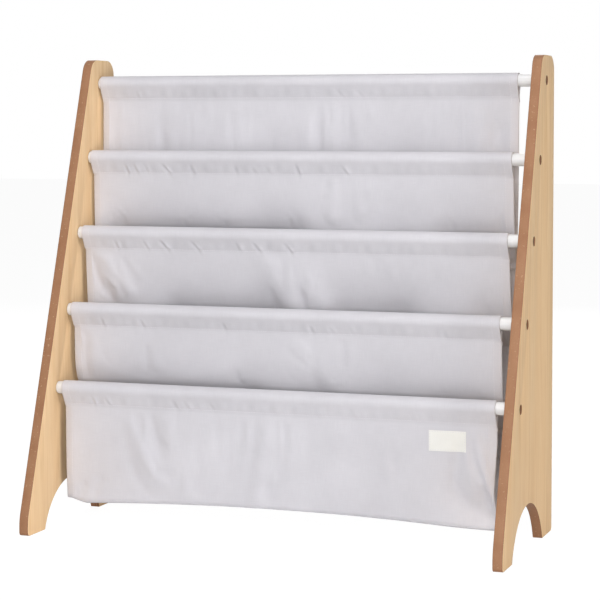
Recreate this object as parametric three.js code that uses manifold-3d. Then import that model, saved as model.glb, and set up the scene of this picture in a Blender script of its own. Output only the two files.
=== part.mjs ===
// A children's sling bookshelf: two side panels, five rods and a cloth sling with four book pockets.
// Lengths are in millimetres. X runs along the rods, +Y points to the back and +Z points up.
// The origin is on the floor, midway between the side panels and midway between the front and the back.

import * as THREE from "three";
import { mergeVertices } from "three/addons/utils/BufferGeometryUtils.js";
import Module from "manifold-3d";

const wasm = await Module();
wasm.setup();

// Whole shelf
const WIDTH = 620;
const DEPTH = 258;
const HEIGHT = 600;

// Side panels. The front edge rises upright from the toe and then slopes back to the flat top.
const BOARD = 12;
const TOP_DEPTH = 66;
const TOE_HEIGHT = 20;
const TOP_RADIUS = 20;
const TOE_BEND_RADIUS = 60;
const FOOT_RADIUS = 5;
const FRONT_FOOT = 47;
const REAR_FOOT = 53;
const ARCH_HEIGHT = 57;
const EDGE_EASE = 0.6;

// Rods. They lie along the sloping front edge, evenly spaced in height.
const ROD_COUNT = 5;
const ROD_DIAMETER = 16;
const ROD_SETBACK = 34.5;
const TOP_ROD_DROP = 31;
const LOWEST_ROD_HEIGHT = 177;
const ROD_END_EASE = 0.8;
const ROD_BORE_DEPTH = 28;

// Bolts through the side panels into threaded inserts in the rod ends
const BOLT_DIAMETER = 6;
const BOLT_LENGTH = 30;
const BOLT_HEAD_DIAMETER = 11;
const BOLT_HEAD_HEIGHT = 4;
const BOLT_EASE = 0.6;
const SOCKET_FLATS = 5;
const SOCKET_DEPTH = 2.4;
const COUNTERBORE_DIAMETER = 12;
const COUNTERBORE_DEPTH = 6;
const INSERT_DIAMETER = 10;
const INSERT_LENGTH = 15;
const INSERT_INSET = 0.5;

// Fits
const SEAT_GAP = 0.3;
const BORE_CLEARANCE = 0.3;
const CUT_OVERRUN = 2;

// Sling cloth and the channels that the rods run through
const CLOTH = 1.2;
const CHANNEL_CLEARANCE = 0.6;
const CHANNEL_SEAM_BELOW_ROD = 12;
const SLING_SIDE_GAP = 1;
const ROD_SHOWING = 25;
const SEAM_ALLOWANCE = 10;

// How far each panel of the sling, from the top, has slid to the right, as shares of the rod that shows
const SLIDE_SHARES = [0.08, 0.12, 0.24, 0.2, 0.32];

// Back panel. The pockets draw it forward as it hangs, by shares of the depth between two rods.
const BACK_DRAW_SHARE = 0.4;
const BACK_FOOT_DRAW_SHARE = 0.37;

// Pocket fronts above the lowest. Each leans back as it hangs, by a share of the way to the back panel,
// then bends and is sewn to the back panel, at shares of the rod pitch below its rod.
const TOP_POCKET_SHARES = { leanShare: 0.04, bendShare: 1.1, roundingShare: 0.2, seamShare: 1.3 };
const LOW_POCKET_SHARES = { leanShare: 0.15, bendShare: 1.08, roundingShare: 0.3, seamShare: 1.41 };

// Soft folds across the pocket fronts, as shares of the way to the back panel, and a twist that makes each
// lean more at the right than at the left, as a share of its lean
const FOLD_COUNT = 3;
const FOLD_DEPTH_SHARE = 0.05;
const FOLD_TWIST_SHARE = 0.32;
const FOLD_SHIFT_SHARE = 0.37;

// Lowest pocket. Its front hangs upright to a folded bottom edge, and its floor rises to the back panel.
const LOWEST_LEAN = 3;
const LOWEST_FOLD_DEPTH = 2;
const LOWEST_FOLD_HEIGHT = 27;
const LOWEST_FOLD_RADIUS = 7;
const LOWEST_SEAM_SHARE = 0.44;
const BOTTOM_EDGE_RISE = 9;

// Blank cloth label on the lowest pocket
const LABEL_WIDTH = 46;
const LABEL_HEIGHT = 25;
const LABEL_THICKNESS = 0.8;
const LABEL_FROM_EDGE = 38;
const LABEL_BELOW_ROD = 30;

// How finely curves are divided
const OUTLINE_STEPS = 8;
const ROUND_SIDES = 20;
const CHANNEL_STEPS = 8;
const BEND_STEPS = 3;
const CLOTH_STATIONS = 17;
const BACK_ROWS = 11;

// Sizes that follow
const innerHalfWidth = WIDTH / 2 - BOARD;
const frontSlope = (DEPTH - TOP_DEPTH) / (HEIGHT - TOE_HEIGHT);
const rodPitch = (HEIGHT - TOP_ROD_DROP - LOWEST_ROD_HEIGHT) / (ROD_COUNT - 1);
const rodStepDepth = rodPitch * frontSlope;
const upperPocketCount = ROD_COUNT - 2;
const lowestSeamHeight = THREE.MathUtils.lerp(LOWEST_FOLD_HEIGHT, LOWEST_ROD_HEIGHT, LOWEST_SEAM_SHARE);
const rodRadius = ROD_DIAMETER / 2;
const boltRadius = BOLT_DIAMETER / 2;
const insertRadius = INSERT_DIAMETER / 2;
const channelInnerRadius = rodRadius + CHANNEL_CLEARANCE;
const channelOuterRadius = channelInnerRadius + CLOTH;
const channelSeamDrop = rodRadius + CHANNEL_SEAM_BELOW_ROD;
const slingWidth = 2 * innerHalfWidth - SLING_SIDE_GAP - ROD_SHOWING;
const slingLeft = SLING_SIDE_GAP - innerHalfWidth;
const sewnGap = CLOTH + SEAT_GAP;

const toRodAxis = new THREE.Matrix4().makeRotationZ(-Math.PI / 2);
const toPanelPlane = new THREE.Matrix4().makeBasis(
  new THREE.Vector3(0, 1, 0),
  new THREE.Vector3(0, 0, 1),
  new THREE.Vector3(1, 0, 0),
);

// Axis of a rod, counted from 0 at the top, in the plane of the side panels
function rodAxis(index) {
  const z = HEIGHT - TOP_ROD_DROP - index * rodPitch;
  return new THREE.Vector2((z - TOE_HEIGHT) * frontSlope + ROD_SETBACK, z);
}

const rods = Array.from({ length: ROD_COUNT }, (_, index) => rodAxis(index));

// Solids and geometry

function toSolid(geometry) {
  const bare = geometry.clone();
  bare.deleteAttribute("normal");
  bare.deleteAttribute("uv");
  const merged = mergeVertices(bare);
  return new wasm.Manifold(
    new wasm.Mesh({
      numProp: 3,
      vertProperties: merged.getAttribute("position").array,
      triVerts: new Uint32Array(merged.index.array),
    }),
  );
}

function toGeometry(solid) {
  const mesh = solid.getMesh();
  const geometry = new THREE.BufferGeometry();
  geometry.setAttribute("position", new THREE.BufferAttribute(mesh.vertProperties, 3));
  geometry.setIndex(new THREE.BufferAttribute(mesh.triVerts, 1));
  geometry.computeVertexNormals();
  return geometry;
}

// A body of revolution about X, from [radius, distance along X] pairs
function turned(profile) {
  const points = profile.map(([radius, along]) => new THREE.Vector2(radius, along));
  return new THREE.LatheGeometry(points, ROUND_SIDES).applyMatrix4(toRodAxis);
}

function named(name, geometry, color, roughness, metalness = 0) {
  const mesh = new THREE.Mesh(geometry, new THREE.MeshStandardMaterial({ color, roughness, metalness }));
  mesh.name = name;
  return mesh;
}

// Side panels

// Adds an arc to the path where it turns at a corner, no larger than half of either edge allows
function roundCorner(path, before, corner, after, radius) {
  const back = before.clone().sub(corner);
  const ahead = after.clone().sub(corner);
  const shortest = Math.min(back.length(), ahead.length()) / 2;
  back.normalize();
  ahead.normalize();
  const halfAngle = Math.acos(back.dot(ahead)) / 2;
  const setback = Math.min(radius / Math.tan(halfAngle), shortest);
  const arcRadius = setback * Math.tan(halfAngle);
  const centre = back.clone().add(ahead).normalize();
  centre.multiplyScalar(arcRadius / Math.sin(halfAngle)).add(corner);
  const start = corner.clone().addScaledVector(back, setback).sub(centre);
  const end = corner.clone().addScaledVector(ahead, setback).sub(centre);
  const turnsRight = back.cross(ahead) > 0;
  path.absarc(centre.x, centre.y, arcRadius, start.angle(), end.angle(), turnsRight);
}

// Outline of a side panel seen along X: a foot at each end of an arch, and a sloping front edge
function panelOutline() {
  const archStart = new THREE.Vector2(FRONT_FOOT, 0);
  const archEnd = new THREE.Vector2(DEPTH - REAR_FOOT, 0);
  const halfSpan = (archEnd.x - archStart.x) / 2;
  const archRadius = (halfSpan ** 2 + ARCH_HEIGHT ** 2) / (2 * ARCH_HEIGHT);
  const archCentre = new THREE.Vector2(archStart.x + halfSpan, ARCH_HEIGHT - archRadius);
  const archFrom = archStart.clone().sub(archCentre).angle();
  const archTo = archEnd.clone().sub(archCentre).angle();
  const heel = new THREE.Vector2(DEPTH, 0);
  const topRear = new THREE.Vector2(DEPTH, HEIGHT);
  const topFront = new THREE.Vector2(DEPTH - TOP_DEPTH, HEIGHT);
  const toeBend = new THREE.Vector2(0, TOE_HEIGHT);
  const toe = new THREE.Vector2(0, 0);
  const outline = new THREE.Shape();
  outline.moveTo(archStart.x, archStart.y);
  outline.absarc(archCentre.x, archCentre.y, archRadius, archFrom, archTo, true);
  roundCorner(outline, archEnd, heel, topRear, FOOT_RADIUS);
  roundCorner(outline, heel, topRear, topFront, TOP_RADIUS);
  roundCorner(outline, topRear, topFront, toeBend, TOP_RADIUS);
  roundCorner(outline, topFront, toeBend, toe, TOE_BEND_RADIUS);
  roundCorner(outline, toeBend, toe, archStart, FOOT_RADIUS);
  outline.closePath();
  return outline;
}

// The counterbored hole for one bolt, from inside the shelf outwards along +X
function boltHole() {
  const holeRadius = boltRadius + BORE_CLEARANCE;
  const step = BOARD - COUNTERBORE_DEPTH;
  return turned([
    [0, -CUT_OVERRUN],
    [holeRadius, -CUT_OVERRUN],
    [holeRadius, step],
    [COUNTERBORE_DIAMETER / 2, step],
    [COUNTERBORE_DIAMETER / 2, BOARD + CUT_OVERRUN],
    [0, BOARD + CUT_OVERRUN],
  ]);
}

// side is 1 for the right panel and -1 for the left one
function sidePanel(side) {
  const board = new THREE.ExtrudeGeometry(panelOutline(), {
    depth: BOARD - 2 * EDGE_EASE,
    curveSegments: OUTLINE_STEPS,
    bevelEnabled: true,
    bevelThickness: EDGE_EASE,
    bevelSize: EDGE_EASE,
    bevelOffset: -EDGE_EASE,
    bevelSegments: 1,
  });
  board.applyMatrix4(toPanelPlane);
  board.translate(EDGE_EASE - BOARD / 2, 0, 0);
  const holeGeometry = boltHole().translate(-BOARD / 2, 0, 0);
  if (side < 0) holeGeometry.rotateZ(Math.PI);
  const drill = toSolid(holeGeometry);
  const solid = rods.reduce(
    (panel, axis) => panel.subtract(drill.translate([0, axis.x, axis.y])),
    toSolid(board),
  );
  const name = side < 0 ? "left_side_panel" : "right_side_panel";
  const panel = named(name, toGeometry(solid), 0xdcb98c, 0.55);
  panel.position.x = side * (innerHalfWidth + BOARD / 2);
  return panel;
}

// Rods and what holds them

function rod(index) {
  const half = innerHalfWidth - SEAT_GAP;
  const boreRadius = insertRadius + BORE_CLEARANCE;
  const rightEnd = [
    [rodRadius, half - ROD_END_EASE],
    [rodRadius - ROD_END_EASE, half],
    [boreRadius, half],
    [boreRadius, half - ROD_BORE_DEPTH],
    [0, half - ROD_BORE_DEPTH],
  ];
  const leftEnd = rightEnd.map(([radius, along]) => [radius, -along]).reverse();
  const mesh = named(`rod_${index + 1}`, turned([...leftEnd, ...rightEnd]), 0xf1efec, 0.35);
  mesh.position.set(0, rods[index].x, rods[index].y);
  return mesh;
}

// A threaded insert, measured outwards from the inner face of the side panel
function insertGeometry() {
  const boreRadius = boltRadius + BORE_CLEARANCE;
  const outer = -SEAT_GAP - INSERT_INSET;
  const inner = outer - INSERT_LENGTH;
  return turned([
    [boreRadius, outer],
    [boreRadius, inner],
    [insertRadius, inner],
    [insertRadius, outer],
    [boreRadius, outer],
  ]);
}

// A bolt with a hexagon socket, measured outwards from the inner face of the side panel
function boltGeometry() {
  const seat = BOARD - COUNTERBORE_DEPTH + SEAT_GAP;
  const top = seat + BOLT_HEAD_HEIGHT;
  const tip = seat - BOLT_LENGTH;
  const headRadius = BOLT_HEAD_DIAMETER / 2;
  const blank = turned([
    [0, tip],
    [boltRadius - BOLT_EASE, tip],
    [boltRadius, tip + BOLT_EASE],
    [boltRadius, seat],
    [headRadius, seat],
    [headRadius, top - BOLT_EASE],
    [headRadius - BOLT_EASE, top],
    [0, top],
  ]);
  const socketRadius = SOCKET_FLATS / 2 / Math.cos(Math.PI / 6);
  const socketLength = SOCKET_DEPTH + CUT_OVERRUN;
  const socket = new THREE.CylinderGeometry(socketRadius, socketRadius, socketLength, 6);
  socket.applyMatrix4(toRodAxis);
  socket.translate(top - SOCKET_DEPTH + socketLength / 2, 0, 0);
  return toGeometry(toSolid(blank).subtract(toSolid(socket)));
}

function fastener(kind, side, index, geometry, color, roughness) {
  const end = side < 0 ? "left" : "right";
  const mesh = named(`${kind}_${end}_${index + 1}`, geometry, color, roughness, 1);
  mesh.position.set(side * innerHalfWidth, rods[index].x, rods[index].y);
  mesh.rotation.z = side < 0 ? Math.PI : 0;
  return mesh;
}

// Sling

// A line through corners with each inner corner rounded, from [corner, radius] pairs
function roundedLine(corners) {
  const points = [corners[0][0]];
  corners.slice(1, -1).forEach(([corner, radius], i) => {
    const before = corners[i][0];
    const after = corners[i + 2][0];
    const startShare = Math.min(radius / corner.distanceTo(before), 0.5);
    const endShare = Math.min(radius / corner.distanceTo(after), 0.5);
    const start = corner.clone().lerp(before, startShare);
    const end = corner.clone().lerp(after, endShare);
    points.push(...new THREE.QuadraticBezierCurve(start, corner, end).getPoints(BEND_STEPS));
  });
  points.push(corners.at(-1)[0]);
  return points;
}

// Both faces of a cloth that follows a line from its top to its lower end
function clothFaces(line) {
  const front = [];
  const back = [];
  line.forEach((point, i) => {
    const previous = line[Math.max(i - 1, 0)];
    const next = line[Math.min(i + 1, line.length - 1)];
    const along = next.clone().sub(previous).normalize();
    const forward = new THREE.Vector2(along.y, -along.x);
    front.push(point.clone().addScaledVector(forward, CLOTH / 2));
    back.push(point.clone().addScaledVector(forward, -CLOTH / 2));
  });
  return { front, back };
}

// Points of the arc of a channel over its rod, from the back round to the front
function channelArc(axis, radius) {
  const rise = Math.acos(radius / channelSeamDrop) - Math.PI / 2;
  return Array.from({ length: CHANNEL_STEPS + 1 }, (_, i) => {
    const angle = rise + ((Math.PI - 2 * rise) * i) / CHANNEL_STEPS;
    return new THREE.Vector2(radius * Math.cos(angle), radius * Math.sin(angle)).add(axis);
  });
}

// Outline of a panel of the sling seen along X: a channel round the rod and the cloth below
function panelRing(axis, line) {
  const { front, back } = clothFaces(line);
  return [...back.reverse(), ...channelArc(axis, channelOuterRadius), ...front];
}

function channelHole(axis) {
  const seamInside = new THREE.Vector2(axis.x, axis.y - channelSeamDrop + 2 * CLOTH);
  return [...channelArc(axis, channelInnerRadius), seamInside];
}

// A solid that joins the rings at all the stations along X, with a hole right through where one is given
function loftAlongX(stations, ringAt, hole = []) {
  const rings = stations.map((x) => [...ringAt(x), ...hole]);
  const count = rings[0].length;
  const outerCount = count - hole.length;
  const positions = rings.flatMap((ring, k) => ring.flatMap((p) => [stations[k], p.x, p.y]));
  const triangles = [];
  for (let k = 0; k + 1 < stations.length; k++) {
    for (let i = 0; i < count; i++) {
      const inHole = i >= outerCount;
      const first = inHole ? outerCount : 0;
      const length = inHole ? hole.length : outerCount;
      const next = first + ((i - first + 1) % length);
      const [a, b] = inHole ? [next, i] : [i, next];
      const [a0, b0, a1, b1] = [a, b, a + count, b + count].map((n) => n + k * count);
      triangles.push(a0, b0, b1, a0, b1, a1);
    }
  }
  const capAt = (ring) => {
    const outline = ring.slice(0, outerCount);
    const holes = hole.length ? [ring.slice(outerCount)] : [];
    return THREE.ShapeUtils.triangulateShape(outline, holes);
  };
  const lastStart = (stations.length - 1) * count;
  capAt(rings[0]).forEach(([a, b, c]) => triangles.push(a, c, b));
  capAt(rings.at(-1)).forEach(([a, b, c]) => triangles.push(a + lastStart, b + lastStart, c + lastStart));
  const geometry = new THREE.BufferGeometry();
  geometry.setAttribute("position", new THREE.Float32BufferAttribute(positions, 3));
  geometry.setIndex(triangles);
  geometry.computeVertexNormals();
  return geometry;
}

// Left edge of a panel of the sling, counted from 0 for the back panel
function panelLeft(index) {
  return slingLeft + SLIDE_SHARES[index % SLIDE_SHARES.length] * ROD_SHOWING;
}

function stationsFrom(left) {
  return Array.from({ length: CLOTH_STATIONS }, (_, i) => left + (slingWidth * i) / (CLOTH_STATIONS - 1));
}

const backTop = rods[0].y - channelSeamDrop;
const backDrawn = rods[1].y - rodPitch / 2;
const backHeld = rods[1].y - TOP_POCKET_SHARES.seamShare * rodPitch;
const backFoot = lowestSeamHeight - SEAM_ALLOWANCE / 2;

// Middle of the back panel at a height. It eases forward below its channel and below the first pocket's seam.
function backPanelY(z) {
  const eased = 1 - THREE.MathUtils.smootherstep(z, backDrawn, backTop);
  const lowShare = Math.max(backHeld - z, 0) / (backHeld - backFoot);
  return rods[0].x - rodStepDepth * (BACK_DRAW_SHARE * eased + BACK_FOOT_DRAW_SHARE * lowShare ** 2);
}

// Middle of the cloth of a pocket where it lies against the back panel
function sewnY(z) {
  return backPanelY(z) - sewnGap;
}

function backPanel() {
  const line = Array.from({ length: BACK_ROWS + 1 }, (_, i) => {
    const z = THREE.MathUtils.lerp(backTop, backFoot, i / BACK_ROWS);
    return new THREE.Vector2(backPanelY(z), z);
  });
  const geometry = loftAlongX(stationsFrom(panelLeft(0)), () => panelRing(rods[0], line), channelHole(rods[0]));
  return named("back_panel", geometry, 0xd3cfd4, 0.9);
}

// The soft folds across a pocket front at a place along its width, from -1 to 1, counted from the top pocket
function foldWave(index, widthShare) {
  return Math.sin(2 * Math.PI * (FOLD_COUNT * widthShare + FOLD_SHIFT_SHARE * index));
}

// A pocket's shares, between those of the top pocket and those of the lowest of the upper ones
function pocketShares(index) {
  const lowness = index / Math.max(upperPocketCount - 1, 1);
  const between = ([key, share]) => [key, THREE.MathUtils.lerp(share, LOW_POCKET_SHARES[key], lowness)];
  return Object.fromEntries(Object.entries(TOP_POCKET_SHARES).map(between));
}

// The line of a pocket front at a station: down from its rod, a bend, and a seam on the back panel
function pocketLine(index, x) {
  const axis = rods[index + 1];
  const { leanShare, bendShare, roundingShare, seamShare } = pocketShares(index);
  const seamZ = axis.y - seamShare * rodPitch;
  const widthShare = (x - panelLeft(index + 1)) / slingWidth;
  const twistedShare = leanShare * (1 + FOLD_TWIST_SHARE * (widthShare - 1 / 2));
  const reachShare = twistedShare + FOLD_DEPTH_SHARE * foldWave(index, widthShare);
  const reach = reachShare * (sewnY(seamZ) - axis.x);
  const top = new THREE.Vector2(axis.x, axis.y - channelSeamDrop);
  const bend = new THREE.Vector2(axis.x + reach, axis.y - bendShare * rodPitch);
  const middle = new THREE.Vector2(axis.x + reach / 3, (top.y + bend.y) / 2);
  const seam = new THREE.Vector2(sewnY(seamZ), seamZ);
  const endZ = seamZ - SEAM_ALLOWANCE;
  const end = new THREE.Vector2(sewnY(endZ), endZ);
  return roundedLine([
    [top],
    [middle, roundingShare * rodPitch],
    [bend, roundingShare * rodPitch],
    [seam, SEAM_ALLOWANCE / 2],
    [end],
  ]);
}

function pocketFront(index) {
  const axis = rods[index + 1];
  const ringAt = (x) => panelRing(axis, pocketLine(index, x));
  const geometry = loftAlongX(stationsFrom(panelLeft(index + 1)), ringAt, channelHole(axis));
  return named(`pocket_front_${index + 1}`, geometry, 0xd3cfd4, 0.9);
}

const lowestLeft = panelLeft(rods.length - 1);

// The lowest pocket's line: down to the folded bottom edge, then a floor that rises to the back panel
function lowestLine(x) {
  const axis = rods.at(-1);
  const widthShare = (x - lowestLeft) / slingWidth;
  const fold = LOWEST_FOLD_DEPTH * foldWave(upperPocketCount, widthShare);
  const arch = 1 - (2 * widthShare - 1) ** 2;
  const top = new THREE.Vector2(axis.x, axis.y - channelSeamDrop);
  const foldZ = LOWEST_FOLD_HEIGHT + BOTTOM_EDGE_RISE * arch;
  const bottom = new THREE.Vector2(axis.x + LOWEST_LEAN + fold, foldZ);
  const middle = new THREE.Vector2(axis.x + LOWEST_LEAN + fold, (top.y + bottom.y) / 2);
  const seam = new THREE.Vector2(sewnY(lowestSeamHeight), lowestSeamHeight);
  const endZ = lowestSeamHeight + SEAM_ALLOWANCE;
  const end = new THREE.Vector2(sewnY(endZ), endZ);
  return roundedLine([
    [top],
    [middle, 2 * LOWEST_FOLD_RADIUS],
    [bottom, LOWEST_FOLD_RADIUS],
    [seam, SEAM_ALLOWANCE / 2],
    [end],
  ]);
}

const labelRight = lowestLeft + slingWidth - LABEL_FROM_EDGE;
const labelLeft = labelRight - LABEL_WIDTH;
const lowestStations = [...stationsFrom(lowestLeft), labelLeft, labelRight].sort((a, b) => a - b);

function lowestPocketFront() {
  const axis = rods.at(-1);
  const geometry = loftAlongX(lowestStations, (x) => panelRing(axis, lowestLine(x)), channelHole(axis));
  return named(`pocket_front_${upperPocketCount + 1}`, geometry, 0xd3cfd4, 0.9);
}

// Place on the front face of the lowest pocket at a station and a height
function onLowestFront(x, z) {
  const { front } = clothFaces(lowestLine(x));
  const below = front.findIndex((point) => point.y <= z);
  const [upper, lower] = [front[below - 1], front[below]];
  return THREE.MathUtils.mapLinear(z, upper.y, lower.y, upper.x, lower.x);
}

function blankLabel() {
  const top = rods.at(-1).y - LABEL_BELOW_ROD;
  const bottom = top - LABEL_HEIGHT;
  const ringAt = (x) => {
    const upper = onLowestFront(x, top) - SEAT_GAP;
    const lower = onLowestFront(x, bottom) - SEAT_GAP;
    return [
      new THREE.Vector2(lower - LABEL_THICKNESS, bottom),
      new THREE.Vector2(lower, bottom),
      new THREE.Vector2(upper, top),
      new THREE.Vector2(upper - LABEL_THICKNESS, top),
    ];
  };
  const stations = lowestStations.filter((x) => x >= labelLeft && x <= labelRight);
  return named("blank_label", loftAlongX(stations, ringAt), 0xf4f2ea, 0.8);
}

// Assembly. Inside the inner group, Y is counted from the front of the feet.

const shelf = new THREE.Group();
const standing = new THREE.Group();
standing.position.y = -DEPTH / 2;
shelf.add(standing);

for (const side of [-1, 1]) {
  standing.add(sidePanel(side));
  rods.forEach((_, index) => {
    standing.add(fastener("rod_insert", side, index, insertGeometry(), 0xb9a36a, 0.4));
    standing.add(fastener("panel_bolt", side, index, boltGeometry(), 0x8a7350, 0.45));
  });
}
rods.forEach((_, index) => standing.add(rod(index)));
standing.add(backPanel());
for (let index = 0; index < upperPocketCount; index++) standing.add(pocketFront(index));
standing.add(lowestPocketFront());
standing.add(blankLabel());

export default shelf;
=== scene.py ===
# A children's sling bookshelf: two tapered boards, five white rods and a grey cloth sling with four pockets.
# Lengths are in metres. X runs along the rods, +Y points to the back and +Z points up.

import math

import bmesh
import bpy
import numpy as np
from mathutils import Matrix, Vector
from mathutils.bvhtree import BVHTree


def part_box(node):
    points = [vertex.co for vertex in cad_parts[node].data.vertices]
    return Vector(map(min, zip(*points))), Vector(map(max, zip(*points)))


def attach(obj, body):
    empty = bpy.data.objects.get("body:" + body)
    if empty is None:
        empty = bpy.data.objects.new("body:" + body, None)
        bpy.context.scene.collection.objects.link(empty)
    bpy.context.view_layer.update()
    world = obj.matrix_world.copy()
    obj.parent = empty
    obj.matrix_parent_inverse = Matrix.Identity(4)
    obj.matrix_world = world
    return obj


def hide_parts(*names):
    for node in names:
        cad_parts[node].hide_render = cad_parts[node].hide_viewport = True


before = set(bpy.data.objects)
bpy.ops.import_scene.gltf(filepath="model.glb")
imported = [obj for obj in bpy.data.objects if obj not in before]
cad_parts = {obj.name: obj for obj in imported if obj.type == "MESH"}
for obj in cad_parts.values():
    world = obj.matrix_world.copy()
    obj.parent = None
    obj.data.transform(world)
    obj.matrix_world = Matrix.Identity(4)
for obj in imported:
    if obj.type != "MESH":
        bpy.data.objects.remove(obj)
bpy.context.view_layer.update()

ROD_COUNT = 5
POCKET_COUNT = 4
LOWEST_POCKET = POCKET_COUNT - 1

# Camera, solved from the panels' outline and the rods in the photograph
CAMERA_PLACE = Vector((0.84586, -2.30678, 0.51168))
CAMERA_YAW = 0.3388
CAMERA_PITCH = -0.05
CAMERA_LENS = 117.96
CAMERA_SENSOR = 36.0
CAMERA_SHIFT_X = -0.02
CAMERA_SHIFT_Y = -0.125

# Side panels. The front edge rises from the toe, bends and slopes back to the flat top.
PANEL_TOP_DEPTH = 0.066
TOE_HEIGHT = 0.020
TOP_RADIUS = 0.020
TOE_BEND_RADIUS = 0.060
FOOT_RADIUS = 0.005
FRONT_FOOT = 0.047
REAR_FOOT = 0.053
ARCH_HEIGHT = 0.057
BOARD_EASE = 0.0007
BOARD_EASE_STEPS = 3
BOARD_EASE_ANGLE = math.radians(40)
GLUE_LINE = 0.0012
FLAT_FACE = 0.999
SMOOTH_ANGLE = math.radians(35)
CORNER_STEPS = 14
ARCH_STEPS = 56

# Bolts in their counterbores, and the rods' ends
BOLT_SHANK_RADIUS = 0.003
BOLT_HOLE_RADIUS = 0.0033
BOLT_HEAD_EASE = 0.0006
BOLT_HEAD_HEIGHT = 0.004
SOCKET_RADIUS = 0.0029
SOCKET_DEPTH = 0.0024
SOCKET_SIDES = 6
BOLT_SEED = 7
COUNTERBORE_RADIUS = 0.006
COUNTERBORE_DEPTH = 0.006
ROD_BORE_RADIUS = 0.0053
ROD_BORE_DEPTH = 0.028
ROD_END_EASE = 0.0008
ROUND_STEPS = 64
CUT_OVERRUN = 0.002

# Stitches. They are sought from above the cloth and lie a little over it.
STITCH_LENGTH = 0.0024
STITCH_GAP = 0.0008
THREAD_THICKNESS = 0.00042
STITCH_UNEVENNESS = 0.12
STITCH_SEARCH = 0.006
STITCH_RAISE = 0.00008
BACK_STITCH_SEED = 11
POCKET_STITCH_SEED = 21
LABEL_STITCH_SEED = 31

# Sling cloth. Each panel starts in a tail behind its channel's seam, runs round the rod and hangs below.
CLOTH_THICKNESS = 0.0008
HEM_THICKNESS = 0.0013
HEM_WIDTH = 0.012
HEM_STITCH_INSET = 0.010
HEM_CURL = 0.0030
HEM_CURL_POWER = 1.5
HEM_STEP = 0.001
CHANNEL_RADIUS = 0.0096
CHANNEL_SEAM_DROP = 0.020
CHANNEL_TAIL = 0.007
CHANNEL_STEP = 0.0026
POCKET_STEP = 0.0048
BACK_STEP = 0.0055
SEAM_GAP = 0.0002
SEWN_GAP = 0.0016
SEAM_ALLOWANCE = 0.010
BEND_STEPS = 10
BACK_LINE_STEPS = 80
WEAVE_PITCH = 0.00052

# Back panel, drawn forward by shares of the depth between two rods
BACK_DRAW_SHARE = 0.4
BACK_FOOT_DRAW_SHARE = 0.37

# Pocket fronts above the lowest, by shares of the way to the back panel and of the rods' pitch
TOP_POCKET_SHARES = {"lean": 0.04, "bend": 1.10, "rounding": 0.20, "seam": 1.30}
LOW_POCKET_SHARES = {"lean": 0.15, "bend": 1.08, "rounding": 0.30, "seam": 1.41}
POCKET_TWIST_SHARE = 0.32

# Lowest pocket, with a folded bottom edge and a floor that rises to the back panel
LOWEST_LEAN = 0.003
LOWEST_FOLD_HEIGHT = 0.0235
LOWEST_FOLD_RADIUS = 0.007
LOWEST_SEAM_SHARE = 0.44
BOTTOM_EDGE_RISE = 0.009
CORNER_LIFT = 0.006
CORNER_LIFT_SHARE = 0.055

# How the cloth drapes, as a light canvas in the simulation's own units
DRAPE_FRAMES = 22
CANVAS = {
    "quality": 5,
    "mass": 0.15,
    "tension_stiffness": 30.0,
    "compression_stiffness": 30.0,
    "shear_stiffness": 15.0,
    "bending_stiffness": 1.5,
    "air_damping": 3.0,
}

# Bends are held softly: an upper pocket's between shares of the pitch, the lowest fold by rows each side
BEND_FIRMNESS = 0.5
BEND_HELD_SHARES = (0.92, 1.06)
FOLD_HELD_ROWS = 3

# How many times finer the cloth's grid gets once it hangs
FINER_ACROSS = 3
FINER_CHANNEL = 2
FINER_POCKET = 2

# Small gathers by the channel seams. Each wave is (share of the depth, wavelength over 2 pi, shift, slant).
PUCKER_DEPTH = 0.00050
PUCKER_WAVES = ((0.5, 0.0041, 0.0, 40), (0.35, 0.0023, 1.3, -60), (0.5, 0.0093, 2.1, 20))
PUCKER_ABOVE_SEAM = 0.006
PUCKER_REACH = 0.009
PUCKER_SEWN_SHARE = 0.5
PUCKER_STITCH_WIDTH = 0.0015

# Soft ridges (+) and hollows (-) of the hanging cloth, seen in the photograph:
# (x from, drop from, x to, drop to, width, height), with the drop measured down from the channel's seam.
# They fade out towards the seams.
FOLD_FADE = 0.018
BACK_FOLDS = (
    (-0.266, 0.010, -0.262, 0.080, 0.016, 0.0018),
    (-0.229, 0.010, -0.227, 0.060, 0.016, 0.0010),
    (-0.208, 0.055, -0.205, 0.075, 0.014, -0.0022),
    (-0.190, 0.010, -0.186, 0.070, 0.018, 0.0014),
    (-0.142, 0.010, -0.138, 0.090, 0.024, 0.0026),
    (-0.046, 0.012, -0.046, 0.080, 0.020, 0.0014),
    (0.005, 0.042, 0.009, 0.090, 0.016, -0.0020),
    (0.033, 0.012, 0.036, 0.095, 0.016, 0.0036),
    (0.085, 0.010, 0.150, 0.012, 0.020, 0.0020),
    (0.180, 0.015, 0.182, 0.070, 0.014, 0.0020),
    (0.218, 0.025, 0.220, 0.080, 0.014, 0.0026),
    (0.248, 0.045, 0.252, 0.100, 0.018, -0.0052),
)
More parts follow.
